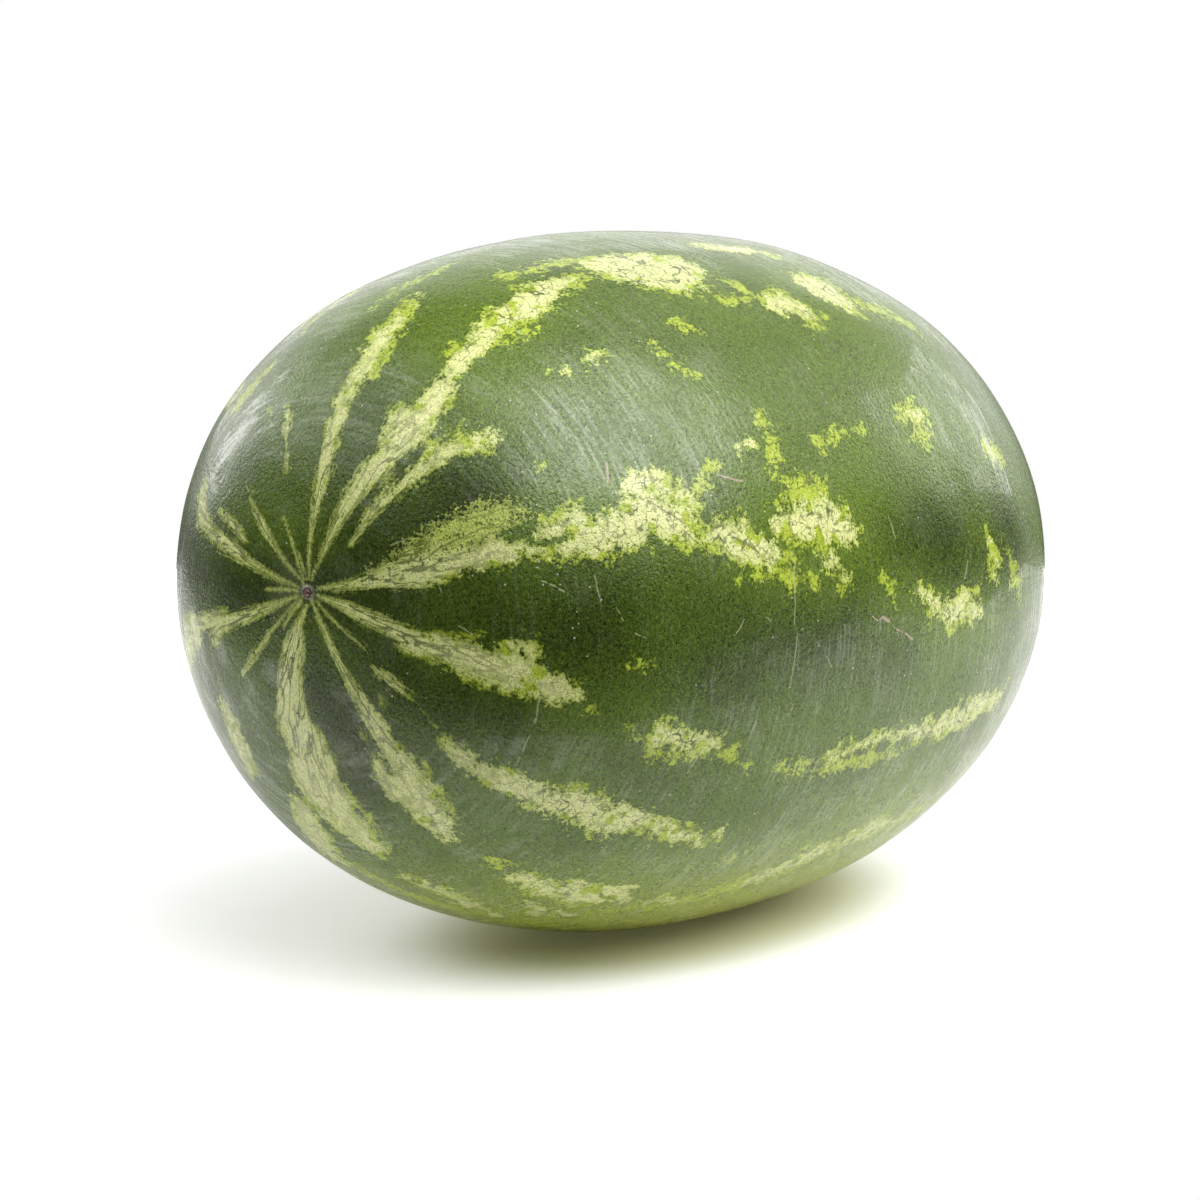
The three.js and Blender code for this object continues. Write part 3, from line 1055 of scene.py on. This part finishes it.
# %% [markdown]
# ## Floor
#
# The fruit lies on a white table, on which its shadow has to show but the table's far edge must not.
# A bent backdrop would do for one view. A flat grid that reaches far behind the fruit, with a white
# that fades into the white around it, does for all of them.

# %% White table
TABLE_FRONT = -0.26
TABLE_BACK = 0.8
TABLE_LEFT = -0.58
TABLE_RIGHT = 0.8
TABLE_ROWS = 30
TABLE_COLUMNS = 41
BELOW_FRUIT = 0.0002
VIEW_TURN = np.radians(36.82)


def table_points(rows, columns):
    """A flat grid just under Z = 0: u runs away from the camera, denser near it, and v to its right."""
    share = np.linspace(0, 1, rows)
    u = TABLE_FRONT + (TABLE_BACK - TABLE_FRONT) * share ** 2
    v = np.linspace(TABLE_LEFT, TABLE_RIGHT, columns)
    u, v = np.meshgrid(u, v, indexing="ij")
    x = u * np.cos(VIEW_TURN) + v * np.sin(VIEW_TURN)
    y = u * np.sin(VIEW_TURN) - v * np.cos(VIEW_TURN)
    return np.stack([x, y, 0 * x - BELOW_FRUIT], axis=-1).reshape(-1, 3)


table_quads = grid_quads(TABLE_ROWS, TABLE_COLUMNS, closed=False)
no_triangles = np.zeros((0, 3), int)
floor = mesh_object("floor", table_points(TABLE_ROWS, TABLE_COLUMNS), table_quads, no_triangles)
print("floor:", len(floor.data.polygons), "faces, facing", tuple(floor.data.polygons[0].normal))

# %% [markdown]
# ## The table's white
#
# The table is an ordinary white surface near the fruit, and what the camera sees of it glows more
# with distance, until it can't be told from the white behind it. Round the resting spot the white is
# painted warmer, as painted bounce light off the green belly, and the glow is weakest, as a painted
# contact shadow.

# %% White that glows
GLOW_FROM = 0.28
GLOW_TO = 0.62
# painted contact shadow: the weakest glow, right under the fruit
CONTACT_SHADOW_GLOW = (0.065, 0.065, 0.03)
SHADE_GLOW = (0.28, 0.28, 0.28)
FULL_GLOW = (1, 1, 1)
# painted bounce light: the warmer white right under the fruit
PAINTED_BOUNCE_WHITE = (0.70, 0.68, 0.54)
PLAIN_WHITE = (0.80, 0.80, 0.79)
SHADE_MIDDLE = (0.005, -0.008, 0.0)
SHADE_SQUEEZE = (0.62, 1.0, 1.0)

white = bpy.data.materials.new("white_table")
table_tree = start_tree(white)
ground_place = table_tree.add("TexCoord", output="Object")
from_fruit = ground_place.vector("LENGTH", ground_place, output="Value")
seen = table_tree.add("LightPath")
shade_place = ground_place.vector("SUBTRACT", ground_place, SHADE_MIDDLE)
under_fruit = shade_place.vector("MULTIPLY", shade_place, SHADE_SQUEEZE)
from_contact = under_fruit.vector("LENGTH", under_fruit, output="Value")
glow_colour = mixed(step_up(from_contact, 0.05, 0.085), CONTACT_SHADOW_GLOW, SHADE_GLOW)
glow_colour = mixed(step_up(from_fruit, GLOW_FROM, GLOW_TO), glow_colour, FULL_GLOW)
table = table_tree.add("BsdfPrincipled", {}, {
    "Base Color": mixed(step_up(from_contact, 0.042, 0.08), PAINTED_BOUNCE_WHITE, PLAIN_WHITE),
    "Roughness": 0.8,
    "Emission Color": mixed(seen, (0, 0, 0), glow_colour),
    "Emission Strength": 1.0,
})
table_tree.add("OutputMaterial", {}, {"Surface": table})
floor.data.materials.append(white)
print("table's white:", len(white.node_tree.nodes), "nodes")

# %% [markdown]
# ## Camera
#
# The camera stands low at the blossom end's side and looks slightly down. Its place is given, and its
# three axes are worked out from two angles, so the view can be turned without guessing.

# %% Camera
VIEW_DROP = np.radians(9.5)
CAMERA_PLACE = Vector((-1.1119, -0.8168, 0.3464))
LENS = 115.6
SENSOR_WIDTH = 36

level = np.cos(VIEW_DROP)
view = Vector((level * np.cos(VIEW_TURN), level * np.sin(VIEW_TURN), -np.sin(VIEW_DROP)))
right = view.cross(Vector((0, 0, 1))).normalized()
up = right.cross(view)
camera = in_scene("camera", bpy.data.cameras.new("camera"))
camera.data.lens = LENS
camera.data.sensor_width = SENSOR_WIDTH
camera.data.clip_end = 60
turn_matrix = Matrix((right, up, -view)).transposed().to_4x4()
camera.matrix_world = Matrix.Translation(CAMERA_PLACE) @ turn_matrix
bpy.context.scene.camera = camera
print("camera at", [round(v, 3) for v in CAMERA_PLACE], "lens", LENS, "mm")

# %% [markdown]
# ## Light
#
# Soft light on a glossy thing is mostly a question of what it mirrors. Here that is a softbox on
# either side, each with its patch of haze on the flank, and a large one far to the left for the
# blossom end. An area light mirrors with a clear edge, as a real softbox does, and its place is
# written as angles from the view, so it can be moved to where its mirror image should be.

# %% Softboxes
FRUIT_MIDDLE = Vector((0, 0, 0.13))
SOFTBOX_DISTANCE = 1.6

back = Vector((np.cos(VIEW_TURN), np.sin(VIEW_TURN), 0))
side = Vector((np.sin(VIEW_TURN), -np.cos(VIEW_TURN), 0))


def toward(turn_from_view, elevation):
    """A unit direction: the turn is in degrees from the view direction, + to the right."""
    turn_angle, lift = np.radians([turn_from_view, elevation])
    level = back * float(np.cos(turn_angle)) + side * float(np.sin(turn_angle))
    return level * float(np.cos(lift)) + Vector((0, 0, float(np.sin(lift))))


def softbox(name, turn_from_view, elevation, wide, tall, radiance, roll=0):
    """An area light that looks `wide` by `tall` degrees from the fruit, rolled about its own aim.

    Its power is pi * area * radiance.
    """
    direction = toward(turn_from_view, elevation)
    lamp = in_scene(name, bpy.data.lights.new(name, "AREA"))
    lamp.data.shape = "RECTANGLE"
    lamp.data.size = 2 * SOFTBOX_DISTANCE * float(np.tan(np.radians(wide / 2)))
    lamp.data.size_y = 2 * SOFTBOX_DISTANCE * float(np.tan(np.radians(tall / 2)))
    lamp.data.energy = float(np.pi) * lamp.data.size * lamp.data.size_y * radiance
    lamp.location = FRUIT_MIDDLE + direction * SOFTBOX_DISTANCE
    own_roll = Quaternion((0, 0, 1), np.radians(roll))
    lamp.rotation_euler = (direction.to_track_quat("Z", "Y") @ own_roll).to_euler()
    lamp.visible_camera = False
    print(name, round(lamp.data.energy, 1), "W")


softbox("left_softbox", -54, 18, wide=16, tall=23, radiance=3.3)
softbox("right_softbox", 50, 17, wide=28, tall=21, radiance=2.3, roll=-20)
softbox("far_left_softbox", -96, 42, wide=56, tall=44, radiance=1.75)

# %% [markdown]
# ## Surroundings
#
# A bright backdrop behind the fruit pales its rim, and soft lamps stand overhead and around. The room
# where the camera stands is dim, which leaves the deep green of the side alone. All of it is written
# as a function of direction, and only the camera itself sees the surroundings as plain white.

# %% Backdrop, lamps and a dim room
DIM_ROOM = 0.03
BACKDROP = 1.12
LAMPS = [  # turn from the view, elevation, degrees of full light, degrees where it ends, strength
    (135, 76, 14, 32, 1.2),
    (178, 58, 14, 40, 1.0),
    (45, 55, 10, 30, 0.6),
    (108, 16, 6, 16, 0.5),
    (112, 36, 3, 15, 1.8),
    (98, 50, 4, 30, 4.6),
    (142, 46, 4, 30, 4.0),
    (28, 8, 8, 20, 0.4),
    (-42, -8, 10, 26, 0.28),
    (-2, 6, 9, 22, 0.25),
]

world = bpy.data.worlds.new("studio")
bpy.context.scene.world = world
world_tree = start_tree(world)
direction = world_tree.add("TexCoord")


def lobe(turn_from_view, elevation, inner, outer):
    """1 within `inner` degrees of a direction, 0 beyond `outer` degrees."""
    aim = toward(turn_from_view, elevation)
    closeness = direction.vector("DOT_PRODUCT", direction, tuple(aim), output="Value")
    return step_up(closeness, float(np.cos(np.radians(outer))), float(np.cos(np.radians(inner))))


lift = direction.part("Z")
backdrop = lobe(-22, 5, 36, 57) * step_up(lift, 0.015, 0.045) * (1 - step_up(lift, 0.45, 0.72))
strength = DIM_ROOM + backdrop * BACKDROP
for turn_from_view, elevation, inner, outer, lamp_strength in LAMPS:
    strength = strength + lobe(turn_from_view, elevation, inner, outer) * lamp_strength
camera_ray = world_tree.add("LightPath")
sky = world_tree.add("Background", {}, {"Color": strength * (1 - camera_ray) + camera_ray})
world_tree.add("OutputWorld", {}, {"Surface": sky})
bpy.context.scene.view_settings.view_transform = "Standard"
print("surroundings:", len(world.node_tree.nodes), "nodes")

# %% [markdown]

# %% [markdown]
# ## In place
#
# The rind, the floor, the camera and the light are in place.
